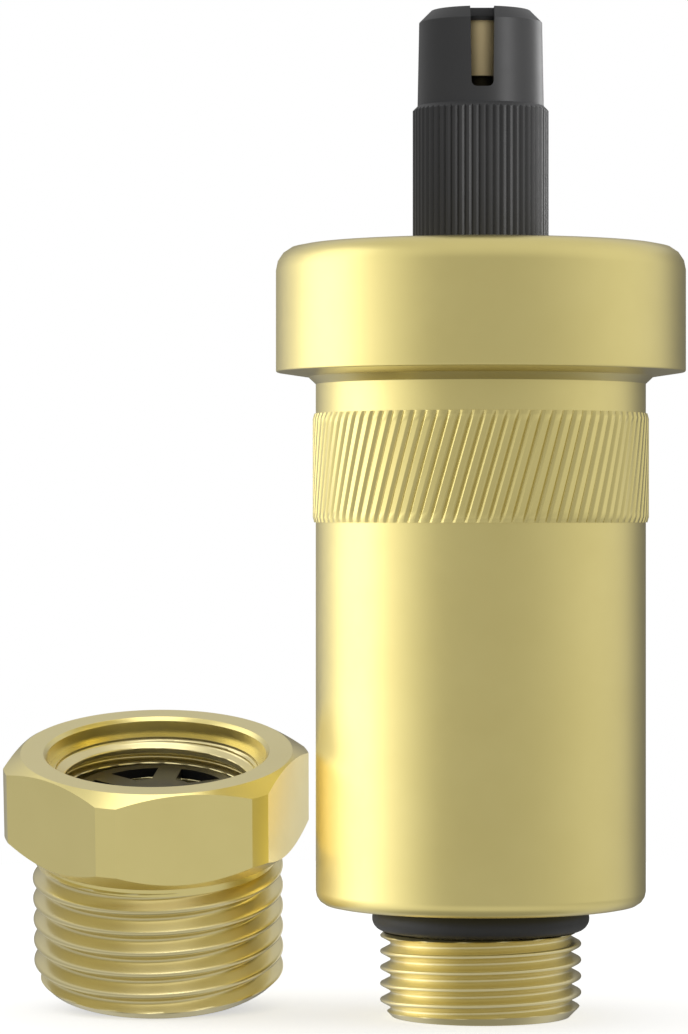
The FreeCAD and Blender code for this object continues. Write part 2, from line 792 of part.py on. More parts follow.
hexagon = make("Part::Prism", "adapter_hexagon", Circumradius="hex_width / 2 / cos(30)",
               Height="adapter_height")
hexagon.Polygon = 6
place(hexagon, turn=((0, 0, 1), "hex_yaw"))
item = doc.addObject("Part::Common", "adapter_hexagonal")
item.Base = turned
item.Tool = hexagon
stand(item)
keep(item, "adapter_body")

# Poppet: the cone with its stem below, the sealing ring and the wheel that the vent's thread pushes down

disc_top = "seat_height - poppet_seal_gap - poppet_seal_section"
disc_bottom = disc_top + " - disc_thickness"
spider_top = "adapter_height - spider_depth"
hub_bottom = spider_top + " - hub_length"
body = new_body("poppet_cone")
nose_rise = "(%s + nose_drop - nose_radius)" % disc_bottom
nose_side = "atan(%s / disc_radius) - acos(nose_radius / sqrt(%s * %s + disc_radius * disc_radius))"
nose_side = nose_side % (nose_rise, nose_rise, nose_rise)
revolve(body, "poppet_cone", [
    ("0", "nose_radius * (1 + sin(%s))" % nose_side),
    ("nose_radius * cos(%s)" % nose_side, "nose_radius * (1 + sin(%s))" % nose_side),
    ("disc_radius", disc_bottom + " + nose_drop"),
    ("disc_radius", disc_top + " + nose_drop"),
    ("poppet_stem_radius", disc_top + " + nose_drop"),
    ("poppet_stem_radius", hub_bottom + " + hub_socket + nose_drop"),
    ("0", hub_bottom + " + hub_socket + nose_drop"),
])
nose = body.newObject("PartDesign::AdditiveSphere", "poppet_nose")
nose.AttachmentSupport = (plane(body, "XY_Plane"), "")
nose.MapMode = "FlatFace"
bind(nose, Radius="nose_radius")
nose.setExpression(".AttachmentOffset.Base.z", rule("nose_radius"))
stand(body, "-nose_drop")
keep(body, "poppet_cone")

seal = make("Part::Torus", "poppet_o_ring_torus", Radius1="poppet_seal_radius",
            Radius2="poppet_seal_section / 2")
stand(seal, disc_top + " + poppet_seal_section / 2")
keep(seal, "poppet_o_ring")

body = new_body("poppet_spider")
revolve(body, "spider_ring", [
    ("spider_ring_radius - spider_ring_width", "0"),
    ("spider_ring_radius", "0"),
    ("spider_ring_radius", "spider_thickness"),
    ("spider_ring_radius - spider_ring_width", "spider_thickness"),
])
spoke = sketch_on(body, "XY_Plane", "spider_spoke_outline", "spider_thickness / 2")
spoke.AttachmentOffset = Placement(Vector(), Rotation(Vector(0, 0, 1), 1))
spoke.setExpression(".AttachmentOffset.Rotation.Angle", rule("spider_yaw"))
outline(spoke, [
    ("0", "-spider_spoke / 2"),
    ("spider_ring_radius - spider_ring_width / 2", "-spider_spoke / 2"),
    ("spider_ring_radius - spider_ring_width / 2", "spider_spoke / 2"),
    ("0", "spider_spoke / 2"),
])
arm = pad(body, spoke, "spider_spoke_pad", "spider_thickness")
around(body, arm, "spider_spoke_set", "spider_spokes")
revolve(body, "spider_hub", [
    ("0", "spider_thickness"),
    ("spider_hub_radius", "spider_thickness"),
    ("spider_hub_radius", "0"),
    ("poppet_stem_radius * 2", "spider_thickness - hub_length"),
    ("poppet_stem_radius + seat_gap", "spider_thickness - hub_length"),
    ("poppet_stem_radius + seat_gap", "spider_thickness - hub_length + hub_socket + seat_gap"),
    ("0", "spider_thickness - hub_length + hub_socket + seat_gap"),
])
stand(body, spider_top + " - spider_thickness")
keep(body, "poppet_spider")

spring_length = spider_top + " - spider_thickness - seat_height - ledge_thickness"
spring = coil("poppet_spring", "poppet_spring_radius", "poppet_spring_wire", spring_length,
              "poppet_spring_turns", "fit_gap")
stand(spring, "seat_height + ledge_thickness + poppet_spring_wire / 2 + fit_gap")

# Recompute, test every object and write each piece to its own file

doc.recompute()
for item in doc.Objects:
    if "Invalid" in item.State or "Error" in item.State:
        raise RuntimeError("%s (%s) failed: %s" % (item.Name, item.Label, item.State))
for piece in pieces:
    shape = piece.Shape
    if shape.isNull() or not shape.isValid() or len(shape.Solids) != 1:
        raise RuntimeError("%s is not one valid solid" % piece.Label)
os.makedirs("parts", exist_ok=True)
for piece in pieces:
    piece.Shape.exportStep("parts/%s.step" % piece.Label)
    box = piece.Shape.BoundBox
    print("%-18s %9.2f mm3  z %7.3f to %7.3f" % (piece.Label, piece.Shape.Volume, box.ZMin, box.ZMax))
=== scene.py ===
import json
from math import acos, cos, floor, pi, radians, sin, sqrt, tan

import bmesh
import bpy
from mathutils import Matrix, Vector


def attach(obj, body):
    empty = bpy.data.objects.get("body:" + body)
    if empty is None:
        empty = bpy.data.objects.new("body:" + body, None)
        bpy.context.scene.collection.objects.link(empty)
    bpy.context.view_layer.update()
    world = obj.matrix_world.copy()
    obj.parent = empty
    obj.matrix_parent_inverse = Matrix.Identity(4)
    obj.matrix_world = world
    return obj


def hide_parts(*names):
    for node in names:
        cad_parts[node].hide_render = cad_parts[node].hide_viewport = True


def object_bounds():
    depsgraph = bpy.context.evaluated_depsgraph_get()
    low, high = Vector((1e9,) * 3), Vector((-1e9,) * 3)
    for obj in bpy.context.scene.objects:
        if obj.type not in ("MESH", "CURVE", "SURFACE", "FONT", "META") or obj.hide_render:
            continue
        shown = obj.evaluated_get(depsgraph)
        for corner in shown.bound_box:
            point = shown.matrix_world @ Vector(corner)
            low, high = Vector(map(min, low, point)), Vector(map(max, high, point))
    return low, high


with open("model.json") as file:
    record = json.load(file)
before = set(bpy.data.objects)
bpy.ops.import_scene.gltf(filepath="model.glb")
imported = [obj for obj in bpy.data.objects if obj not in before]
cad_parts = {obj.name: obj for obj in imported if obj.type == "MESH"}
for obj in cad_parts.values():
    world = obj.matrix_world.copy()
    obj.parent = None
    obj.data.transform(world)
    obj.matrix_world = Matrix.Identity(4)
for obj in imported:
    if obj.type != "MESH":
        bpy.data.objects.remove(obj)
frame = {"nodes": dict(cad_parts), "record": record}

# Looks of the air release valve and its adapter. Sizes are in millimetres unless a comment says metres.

cad_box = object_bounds()
MM = 0.001
STEPS = 192

# The rounded Whitworth thread form, as shares of the pitch
FLANK_ANGLE = radians(27.5)
CREST_RADIUS = 0.137329
CREST_HEIGHT = 0.320164
ROWS_PER_TURN = 24

# Inlet thread G 3/8 and casing
INLET_RADIUS = 5.5
THREAD_RADIUS = 8.331
THREAD_PITCH = 1.337
THREAD_TOP = 7.0
THREAD_LOWER_RIM = 7.35
THREAD_UPPER_RIM = 8.0
UNDERCUT_RADIUS = 6.85
BASE = 9.2
BASE_FILLET = 1.2
CASING_RADIUS = 13.66
CHAMBER_RADIUS = 11.6
FLOOR_TOP = 11.2
BAND_BOTTOM = 40.85
BAND_TOP = 49.85
BAND_RADIUS = 13.91
BAND_SEAT_RADIUS = 13.2
CONE_BOTTOM = 52.3
SHOULDER_RADIUS = 14.3
NECK_RADIUS = 13.0
NECK_TOP = 59.0
BRACKET_SEAT_RADIUS = 12.2
BRACKET_SEAT = 58.0

# Diagonal knurl of the band
KNURL_RIDGES = 90
KNURL_ROOT = 13.70
KNURL_SLOPE = radians(16)
KNURL_CHAMFER = 0.12
# The knurl's painted shade covers everything deeper than this below the ridge tops
KNURL_UNSHADED_DEPTH = 0.06
KNURL_ROWS = 20
# Points of a tooth, as shares of its width and height: the groove's bottom, a flank, the ridge and a flank
KNURL_TOOTH = ((-0.015, 0), (0.015, 0), (0.265, 0.97), (0.28, 1), (0.72, 1), (0.735, 0.97))

# Cover, whose underside slopes up to its rim
COVER_BOTTOM = 52.9
COVER_RIM_BOTTOM = 53.3
COVER_RIM_FILLET = 0.15
COVER_RADIUS = 16.96
COVER_TOP = 63.7
COVER_FILLET = 2.0
COVER_STEPS = 256
COVER_GAP = 0.05
CAVITY_RADIUS = 11.0
CAVITY_TOP = 61.2
GASKET_TOP = 60.0
STEM_HOLE_RADIUS = 3.55
STEM_HOLE_FILLET = 0.2

# Screw cap
CAP_BOTTOM = 63.8
CAP_CHAMFER = 0.15
GRIP_TOP = 74.9
GRIP_RADIUS = 5.63
GRIP_ROOT = 5.47
GRIP_RIDGES = 58
GRIP_RIDGE_STEPS = 6
# A ridge's wave is this many times the grip's depth, and the grip's radius cuts its top flat
GRIP_WAVE = 1.1
WAIST_BOTTOM = 75.3
WAIST_RADIUS = 5.23
WAIST_ROWS = 5
CROWN_BOTTOM = 82.2
CROWN_FILLET = 0.12
CAP_SHOULDER_RADIUS = 5.1
CROWN_RADIUS = 4.1
CAP_TOP = 83.2
CAP_ROOF = 82.5
CAP_BORE_RADIUS = 2.9
CAP_THREAD_TOP = 76.3
SLOT_BOTTOM = 76.5
SLOT_BOTTOM_WIDTH = 1.8
SLOT_TOP_WIDTH = 2.0
SLOT_CORNER = 0.45
SLOT_WEB_RADIUS = 2.5
SLOT_REACH = GRIP_RADIUS * 2
SLOT_OVERSHOOT = 1
SLOT_END = CAP_TOP + SLOT_OVERSHOOT
NOZZLE_HEAD = 77.6

# Adapter: G 1/2 male thread, hexagon and G 3/8 socket
MALE_RADIUS = 10.4775
MALE_PITCH = 1.814
MALE_TOP = 11.1
MALE_LOWER_RIM = 9.55
MALE_UPPER_RIM = 9.8
MALE_STEPS = 224
MALE_NECK_RADIUS = 9.0
HEX_NECK_RADIUS = 9.9
HEX_NECK_OVERLAP = 0.4
HEX_NECK_BOTTOM = MALE_TOP - HEX_NECK_OVERLAP
HEX_BOTTOM = 11.6
HEX_BASE_RADIUS = 10.7
HEX_BASE_FILLET = 0.08
HEX_LOWER_CHAMFER = 1.65
HEX_WIDTH = 23.0
HEX_TURNED_RADIUS = 12.8
HEX_UPPER_CHAMFER = 0.87
HEX_TOP_RADIUS = 11.3
HEX_YAW = radians(13.5)
HEX_STEPS = 240
ADAPTER_TOP = 20.0
RING_SEAT_RADIUS = 9.1
RING_SEAT_BOTTOM = 18.5
MOUTH_CHAMFER = 0.3
MOUTH_FILLET = 0.05
SOCKET_LEAD = 0.25
SOCKET_LEAD_RADIUS = 8.45
SOCKET_LEAD_SLOPE = tan(radians(60))
SOCKET_MINOR_RADIUS = 7.7
# Where the socket's thread starts, in turns
SOCKET_PHASE = 0.161
SOCKET_WALL_RADIUS = 8.6
SOCKET_BOTTOM = 11.2
SOCKET_FLOOR = 10.0
RELIEF_RADIUS = 8.4
SPRING_BORE_RADIUS = 5.6
LEDGE_TOP = 6.2
LEDGE_RADIUS = 4.2
LEDGE_BOTTOM = 5.0
OUTLET_RADIUS = 8.0
OUTLET_CHAMFER = 0.3
THREAD_MOUNT_HEIGHT = 5.875

# The adapter's own axes, from its thread mount in the record
mounts = {mount["name"]: mount for mount in frame["record"]["mounts"]}
adapter_axis = -Vector(mounts["adapter_thread"]["axis"])
lean = acos(adapter_axis.z)
adapter_base = Vector(mounts["adapter_thread"]["pos_m"]) / MM - adapter_axis * THREAD_MOUNT_HEIGHT
ADAPTER = Matrix.Translation(adapter_base) @ Matrix.Rotation(lean, 4, "X")


# Shader helpers

def node(tree, kind, **values):
    """A shader node with its properties and input values set"""
    item = tree.nodes.new(kind)
    for name, value in values.items():
        if name in item.inputs.keys():
            item.inputs[name].default_value = value
        else:
            setattr(item, name, value)
    return item


def calculate(tree, operation, first, second=0):
    """A math node on sockets or numbers"""
    item = node(tree, "ShaderNodeMath", operation=operation)
    for socket, value in zip(item.inputs, (first, second)):
        if isinstance(value, (int, float)):
            socket.default_value = value
        else:
            tree.links.new(value, socket)
    return item.outputs["Value"]


def graded(tree, value, start, end, low, high):
    """A smooth change from low to high as a value goes from start to end"""
    item = node(tree, "ShaderNodeMapRange", interpolation_type="SMOOTHSTEP")
    for name, number in (("From Min", start), ("From Max", end), ("To Min", low), ("To Max", high)):
        item.inputs[name].default_value = number
    tree.links.new(value, item.inputs["Value"])
    return item.outputs["Result"]


# Materials

COAT_ROUGHNESS = 0.3
TONE_START = 0.3
TONE_END = 0.7
CLOUD_SIZE = 6
MARK_SQUEEZE = (0.01, 0.01, 1)
RELIEF = 0.5
SHADE_BLEND = 0.05
UPWARD = (0, 0, 1)
OUTWARD = (1, 1, 0)


def painted_shade(tree, place, tint, shade_band):
    """A tint darkened in a band, as painted shade: the direction it is measured in from the origin, its
    middle, half its width and the share of the tint that is left"""
    direction, middle, half, share = shade_band
    across = node(tree, "ShaderNodeVectorMath", operation="MULTIPLY")
    across.inputs[1].default_value = direction
    tree.links.new(place, across.inputs[0])
    reach = node(tree, "ShaderNodeVectorMath", operation="LENGTH")
    tree.links.new(across.outputs["Vector"], reach.inputs[0])
    offset = calculate(tree, "SUBTRACT", reach.outputs["Value"], middle * MM)
    tint_left = node(tree, "ShaderNodeMapRange")
    tint_left.inputs["From Min"].default_value = half * MM
    tint_left.inputs["From Max"].default_value = (half + SHADE_BLEND) * MM
    tint_left.inputs["To Min"].default_value = share
    tree.links.new(calculate(tree, "ABSOLUTE", offset), tint_left.inputs["Value"])
    # A mix node's sockets for colours are inputs 6 and 7 and output 2
    shade_mix = node(tree, "ShaderNodeMix", data_type="RGBA", blend_type="MULTIPLY")
    shade_mix.inputs[0].default_value = 1.0
    tree.links.new(tint, shade_mix.inputs[6])
    tree.links.new(tint_left.outputs["Result"], shade_mix.inputs[7])
    return shade_mix.outputs[2]


def finish(name, colour, shade, roughness, metallic=0.0, coat=0.0, specular=0.5, grain=900, spread=0.04,
           marks=0.0, turn=0.0, bump=0.02, shade_band=None):
    """A material whose tone and gloss wander between two values, with fine marks running round a turned
    piece, whose axis may lean by a turn about X, and with painted shade in a band where one is given"""
    material = bpy.data.materials.new(name)
    material.use_nodes = True
    tree = material.node_tree
    surface = tree.nodes["Principled BSDF"]
    surface.inputs["Metallic"].default_value = metallic
    surface.inputs["Coat Weight"].default_value = coat
    surface.inputs["Coat Roughness"].default_value = COAT_ROUGHNESS
    surface.inputs["Specular IOR Level"].default_value = specular
    place = node(tree, "ShaderNodeTexCoord")
    level = node(tree, "ShaderNodeMapping")
    level.inputs["Rotation"].default_value = (-turn, 0, 0)
    tree.links.new(place.outputs["Object"], level.inputs["Vector"])

    cloud = node(tree, "ShaderNodeTexNoise", Scale=grain / CLOUD_SIZE, Detail=3.0)
    tree.links.new(level.outputs["Vector"], cloud.inputs["Vector"])
    tone = node(tree, "ShaderNodeValToRGB")
    tone.color_ramp.elements[0].position = TONE_START
    tone.color_ramp.elements[1].position = TONE_END
    tone.color_ramp.elements[0].color = (*shade, 1)
    tone.color_ramp.elements[1].color = (*colour, 1)
    tree.links.new(cloud.outputs["Fac"], tone.inputs["Fac"])
    tint = tone.outputs["Color"]
    # Painted shade: the tint is darker in the given band
    if shade_band:
        tint = painted_shade(tree, place.outputs["Object"], tint, shade_band)
    tree.links.new(tint, surface.inputs["Base Color"])

    fine = node(tree, "ShaderNodeTexNoise", Scale=grain, Detail=4.0)
    tree.links.new(level.outputs["Vector"], fine.inputs["Vector"])
    gloss = node(tree, "ShaderNodeMapRange")
    gloss.inputs["To Min"].default_value = roughness - spread
    gloss.inputs["To Max"].default_value = roughness + spread
    tree.links.new(fine.outputs["Fac"], gloss.inputs["Value"])
    tree.links.new(gloss.outputs["Result"], surface.inputs["Roughness"])

    height = fine.outputs["Fac"]
    if marks:
        squeeze = node(tree, "ShaderNodeVectorMath", operation="MULTIPLY")
        squeeze.inputs[1].default_value = MARK_SQUEEZE
        rings = node(tree, "ShaderNodeTexNoise", Scale=marks, Detail=2.0)
        tree.links.new(level.outputs["Vector"], squeeze.inputs[0])
        tree.links.new(squeeze.outputs["Vector"], rings.inputs["Vector"])
        height = rings.outputs["Fac"]
    relief = node(tree, "ShaderNodeBump", Strength=RELIEF, Distance=bump * MM)
    tree.links.new(height, relief.inputs["Height"])
    tree.links.new(relief.outputs["Normal"], surface.inputs["Normal"])
    return material


BRASS = (0.87, 0.745, 0.285)
BRASS_SHADE = (0.84, 0.715, 0.265)

# Bands of painted shade, as darker tint: under the overhanging cover, in the grooves of the knurl and on
# the nozzle below its head
SHADE_UNDER_COVER = (UPWARD, (CONE_BOTTOM + COVER_RIM_BOTTOM) / 2, (COVER_RIM_BOTTOM - CONE_BOTTOM) / 2, 0.66)
# Painted shade in the knurl: all but the ridge tops are darker
KNURL_GROOVE_SHADE = (OUTWARD, 0, BAND_RADIUS - KNURL_UNSHADED_DEPTH, 0.86)
# Painted shade on the nozzle below its head, almost black
SHADE_BELOW_NOZZLE_HEAD = (UPWARD, 0, NOZZLE_HEAD, 0.06)

MATERIALS = {
    "satin_brass": finish("satin_brass", BRASS, BRASS_SHADE, roughness=0.34, metallic=1.0, coat=0.7,
                          marks=5000, bump=0.002, shade_band=SHADE_UNDER_COVER),
    "knurled_brass": finish("knurled_brass", BRASS, BRASS_SHADE, roughness=0.34, metallic=1.0, coat=0.7,
                            marks=5000, bump=0.002, shade_band=KNURL_GROOVE_SHADE),
    "turned_brass": finish("turned_brass", (0.82, 0.72, 0.38), (0.79, 0.69, 0.34), roughness=0.30,
                           metallic=1.0, coat=0.6, bump=0.002),
    "adapter_brass": finish("adapter_brass", BRASS, BRASS_SHADE, roughness=0.30, metallic=1.0, coat=0.9,
                            marks=4000, turn=lean, bump=0.002),
    "nozzle_brass": finish("nozzle_brass", (0.95, 0.79, 0.46), (0.85, 0.70, 0.40), roughness=0.6,
                           metallic=1.0, coat=0.0, marks=3000, bump=0.006, shade_band=SHADE_BELOW_NOZZLE_HEAD),
    "cap_plastic": finish("cap_plastic", (0.036, 0.036, 0.037), (0.030, 0.030, 0.031), roughness=0.40,
                          bump=0.006),
    "poppet_plastic": finish("poppet_plastic", (0.012, 0.012, 0.012), (0.008, 0.008, 0.008), roughness=0.30,
                             bump=0.004),
    "rubber": finish("rubber", (0.016, 0.016, 0.015), (0.012, 0.012, 0.011), roughness=0.5, bump=0.008),
    "seal_fibre": finish("seal_fibre", (0.28, 0.34, 0.30), (0.20, 0.26, 0.23), roughness=0.8),
    "white_plastic": finish("white_plastic", (0.72, 0.71, 0.67), (0.68, 0.67, 0.63), roughness=0.4),
    "float_plastic": finish("float_plastic", (0.55, 0.53, 0.46), (0.50, 0.48, 0.42), roughness=0.45),
    "spring_steel": finish("spring_steel", (0.58, 0.58, 0.60), (0.50, 0.50, 0.52), roughness=0.25,
                           metallic=1.0),
}
for item in frame["record"]["subparts"]:
    shown = frame["nodes"][item["node"]]
    shown.data.materials.clear()
    shown.data.materials.append(MATERIALS[item["material_slot"]])


# Mesh helpers

def rounded(corners, steps=4):
    """An outline in which each corner that carries a radius becomes an arc of that radius"""
    points = []
    for i, corner in enumerate(corners):
        here = Vector(corner[:2])
        if len(corner) < 3:
            points.append(here)
            continue
        before = (Vector(corners[i - 1][:2]) - here).normalized()
        after = (Vector(corners[(i + 1) % len(corners)][:2]) - here).normalized()
        half = before.angle(after) / 2
        centre = here + (before + after).normalized() * corner[2] / sin(half)
        first = here + before * corner[2] / tan(half) - centre
        last = here + after * corner[2] / tan(half) - centre
        sweep = pi - 2 * half
        for k in range(steps + 1):
            part = sweep * k / steps
            points.append(centre + (first * sin(sweep - part) + last * sin(part)) / sin(sweep))
    return points


def polar(radius, angle, height):
    """A point at a radius, an angle and a height"""
    return Vector((radius * cos(angle), radius * sin(angle), height))


def ring(radius, height, steps=STEPS, start=0.0):
    """A level circle of points about the Z axis, or the one point on the axis"""
    if radius < 1e-6:
        return [Vector((0, 0, height))]
    return [polar(radius, start + 2 * pi * i / steps, height) for i in range(steps)]


def skin(name, rings):
    """A closed mesh over a loop of rings, where a ring of one point is a tip on the axis"""
    work = bmesh.new()
    laid = [[work.verts.new(point) for point in points] for points in rings]
    for near, far in zip(laid, laid[1:] + laid[:1]):
        count = max(len(near), len(far))
        if count == 1:
            continue
        for i in range(count):
            j = i + 1
            around = (near[i % len(near)], near[j % len(near)], far[j % len(far)], far[i % len(far)])
            work.faces.new(dict.fromkeys(around))
    return closed(name, work)


def closed(name, work):
    """The mesh of a finished closed form, with its normals outwards"""
    bmesh.ops.recalc_face_normals(work, faces=work.faces)
    mesh = bpy.data.meshes.new(name)
    work.to_mesh(mesh)
    work.free()
    return mesh


def turned(name, corners, steps=STEPS):
    """A mesh turned from an outline of radii and heights"""
    return skin(name, [ring(point.x, point.y, steps) for point in rounded(corners)])


def solid(mesh):
    """An object in the scene, named like its mesh"""
    item = bpy.data.objects.new(mesh.name, mesh)
    bpy.context.scene.collection.objects.link(item)
    return item


def combine(item, tool, operation):
    """Cut or intersect a piece with a tool, which is then removed"""
    change = item.modifiers.new(operation, "BOOLEAN")
    change.operation = operation
    change.solver = "EXACT"
    change.object = tool
    bpy.context.view_layer.update()
    result = bpy.data.meshes.new_from_object(item.evaluated_get(bpy.context.evaluated_depsgraph_get()))
    item.modifiers.clear()
    item.data = result
    bpy.data.objects.remove(tool)


def dress(item, body, cad_node, slot, place=None, sharp=32, look=None):
    """Scale a piece to metres, put it in place, smooth it, give it its finish and body, and hide the CAD
    node.
    Edges that bend by more than the sharp angle, in degrees, stay sharp. Its look is the slot's material,
    unless another is named."""
    mesh = item.data
    mesh.transform(Matrix.Scale(MM, 4) @ (place or Matrix()))
    mesh.materials.clear()
    mesh.materials.append(MATERIALS[look or slot])
    mesh.shade_smooth()
    mesh.set_sharp_from_angle(angle=radians(sharp))
    weigh = item.modifiers.new("weighted_normals", "WEIGHTED_NORMAL")
    weigh.keep_sharp = True
    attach(item, body)
    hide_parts(cad_node)
    return item


# Threads

def thread_height(turns, pitch):
    """Height of the thread form above the middle of its flanks, at a number of turns along the thread"""
    radius = CREST_RADIUS * pitch
    tip = CREST_HEIGHT * pitch
    blend = radius * cos(FLANK_ANGLE)
    part = turns - floor(turns)
    crest = abs(part - 0.5) * pitch
    near = min(crest, pitch / 2 - crest)
    sign = 1 if crest < pitch / 4 else -1
    if near < blend:
        return sign * (tip - radius + sqrt(radius * radius - near * near))
    return sign * (pitch / 4 - near) / tan(FLANK_ANGLE)


def threaded_tube(name, radius, pitch, top, inner, lower_rim, upper_rim, steps=STEPS):
    """A tube from height 0 up with a right-hand male thread, chamfered to a rim radius at each end"""
    rows = int(top / pitch * ROWS_PER_TURN)
    middle = radius - CREST_HEIGHT * pitch
    rings = [ring(inner, 0, steps)]
    for row in range(rows + 1):
        z = top * row / rows
        limit = min(lower_rim + z, upper_rim + (top - z))
        points = []
        for i in range(steps):
            form = middle + thread_height(z / pitch - i / steps, pitch)
            points.append(polar(min(form, limit), 2 * pi * i / steps, z))
        rings.append(points)
    rings.append(ring(inner, top, steps))
    return skin(name, rings)


def socket_lining(name):
    """The lining of the socket: its lead-in under the O-ring's seat and the female thread"""
    depth = RING_SEAT_BOTTOM - SOCKET_BOTTOM
    rows = int(depth / THREAD_PITCH * ROWS_PER_TURN)
    middle = THREAD_RADIUS - CREST_HEIGHT * THREAD_PITCH
    rings = [ring(SOCKET_WALL_RADIUS, SOCKET_BOTTOM)]
    for row in range(rows + 1):
        z = SOCKET_BOTTOM + depth * row / rows
        limit = SOCKET_LEAD_RADIUS - max(0, RING_SEAT_BOTTOM - SOCKET_LEAD - z) * SOCKET_LEAD_SLOPE
        points = []
        for i in range(STEPS):
            form = middle + thread_height(z / THREAD_PITCH - i / STEPS + SOCKET_PHASE, THREAD_PITCH)
            points.append(polar(max(limit, form, SOCKET_MINOR_RADIUS), 2 * pi * i / STEPS, z))
        rings.append(points)
    rings.append(ring(SOCKET_WALL_RADIUS, RING_SEAT_BOTTOM))
    return skin(name, rings)


# Casing and cover

def knurl(name):
    """The band with its diagonal knurl"""
    count = KNURL_RIDGES * len(KNURL_TOOTH)
    twist = (BAND_TOP - BAND_BOTTOM) * tan(KNURL_SLOPE) / BAND_RADIUS
    rings = [ring(BAND_SEAT_RADIUS, BAND_BOTTOM, count, -twist / 2)]
    for row in range(KNURL_ROWS + 1):
        z = BAND_BOTTOM + (BAND_TOP - BAND_BOTTOM) * row / KNURL_ROWS
        limit = BAND_RADIUS - max(0, KNURL_CHAMFER - min(z - BAND_BOTTOM, BAND_TOP - z))
        points = []
        for i in range(KNURL_RIDGES):
            for part, rise in KNURL_TOOTH:
                angle = 2 * pi * (i + part) / KNURL_RIDGES + twist * (row / KNURL_ROWS - 0.5)
                reach = min(limit, KNURL_ROOT + (BAND_RADIUS - KNURL_ROOT) * rise)
                points.append(polar(reach, angle, z))
        rings.append(points)
    rings.append(ring(BAND_SEAT_RADIUS, BAND_TOP, count, twist / 2))
    return skin(name, rings)


inlet_thread = solid(threaded_tube("inlet_thread", THREAD_RADIUS, THREAD_PITCH, THREAD_TOP, INLET_RADIUS,
                                   THREAD_LOWER_RIM, THREAD_UPPER_RIM))
dress(inlet_thread, "casing", "casing", "turned_brass", sharp=50)

casing_shell = solid(turned("casing_shell", [
    (INLET_RADIUS, THREAD_TOP),
    (UNDERCUT_RADIUS, THREAD_TOP),
    (UNDERCUT_RADIUS, BASE),
    (CASING_RADIUS, BASE, BASE_FILLET),
    (CASING_RADIUS, BAND_BOTTOM),
    (BAND_SEAT_RADIUS, BAND_BOTTOM),
    (BAND_SEAT_RADIUS, BAND_TOP),
    (CASING_RADIUS, BAND_TOP),
    (CASING_RADIUS, CONE_BOTTOM),
    (SHOULDER_RADIUS, COVER_BOTTOM),
    (NECK_RADIUS, COVER_BOTTOM),
    (NECK_RADIUS, NECK_TOP),
    (BRACKET_SEAT_RADIUS, NECK_TOP),
    (BRACKET_SEAT_RADIUS, BRACKET_SEAT),
    (CHAMBER_RADIUS, BRACKET_SEAT),
    (CHAMBER_RADIUS, FLOOR_TOP),
    (INLET_RADIUS, FLOOR_TOP),
]))
dress(casing_shell, "casing", "casing", "satin_brass")

band = solid(knurl("knurled_band"))
dress(band, "casing", "casing", "satin_brass", sharp=25, look="knurled_brass")

cover_shell = solid(turned("cover_shell", [
    (NECK_RADIUS + COVER_GAP, COVER_BOTTOM),
    (SHOULDER_RADIUS, COVER_BOTTOM),
    (COVER_RADIUS, COVER_RIM_BOTTOM, COVER_RIM_FILLET),
    (COVER_RADIUS, COVER_TOP, COVER_FILLET),
    (STEM_HOLE_RADIUS, COVER_TOP, STEM_HOLE_FILLET),
    (STEM_HOLE_RADIUS, CAVITY_TOP),
    (CAVITY_RADIUS, CAVITY_TOP),
    (CAVITY_RADIUS, GASKET_TOP),
    (NECK_RADIUS + COVER_GAP, GASKET_TOP),
], steps=COVER_STEPS))
dress(cover_shell, "casing", "cover", "satin_brass")


# Screw cap: ridged grip, plain top with its crown, and two slots

def ridged_cap(name):
    """The cap before its slots are cut"""
    steps = GRIP_RIDGES * GRIP_RIDGE_STEPS
    outer = [(CAP_BOTTOM, GRIP_RADIUS - CAP_CHAMFER), (CAP_BOTTOM + CAP_CHAMFER, GRIP_RADIUS)]
    outer += [(GRIP_TOP + (WAIST_BOTTOM - GRIP_TOP) * k / WAIST_ROWS,
               GRIP_RADIUS + (WAIST_RADIUS - GRIP_RADIUS) * k / WAIST_ROWS) for k in range(WAIST_ROWS + 1)]
    rings = [ring(STEM_HOLE_RADIUS, CAP_BOTTOM, steps)]
    for z, limit in outer:
        points = []
        for i in range(steps):
            angle = 2 * pi * i / steps
            wave = abs(sin(GRIP_RIDGES * angle / 2))
            ridge = GRIP_ROOT + (GRIP_RADIUS - GRIP_ROOT) * wave * GRIP_WAVE
            points.append(polar(min(limit, max(ridge, WAIST_RADIUS)), angle, z))
        rings.append(points)
    upper = rounded([
        (CAP_SHOULDER_RADIUS, CROWN_BOTTOM, CROWN_FILLET),
        (CROWN_RADIUS, CAP_TOP, CROWN_FILLET),
        (0, CAP_TOP),
        (0, CAP_ROOF),
        (CAP_BORE_RADIUS, CAP_ROOF),
        (CAP_BORE_RADIUS, CAP_THREAD_TOP),
        (STEM_HOLE_RADIUS, CAP_THREAD_TOP),
        (STEM_HOLE_RADIUS, CAP_BOTTOM),
    ])
    rings += [ring(point.x, point.y, steps) for point in upper[:-1]]
    return skin(name, rings)


def slot_cutter(name, side):
    """The form that cuts the slot at the front or the back of the cap"""
    corners = rounded([
        (-SLOT_BOTTOM_WIDTH / 2, SLOT_BOTTOM, SLOT_CORNER),
        (SLOT_BOTTOM_WIDTH / 2, SLOT_BOTTOM, SLOT_CORNER),
        (SLOT_TOP_WIDTH / 2, SLOT_END),
        (-SLOT_TOP_WIDTH / 2, SLOT_END),
    ])
    work = bmesh.new()
    near, far = [[work.verts.new((point.x, side * y, point.y)) for point in corners]
                 for y in (SLOT_WEB_RADIUS, SLOT_REACH)]
    work.faces.new(near)
    work.faces.new(far)
    for i in range(len(corners)):
        work.faces.new((near[i - 1], near[i], far[i], far[i - 1]))
    return closed(name, work)


cap = solid(ridged_cap("screw_cap"))
for side in (-1, 1):
    combine(cap, solid(slot_cutter("slot_cutter", side)), "DIFFERENCE")
dress(cap, "vent_cap", "vent_cap", "cap_plastic", sharp=28)


# Adapter: hexagon, male thread, lining of the bore and socket thread

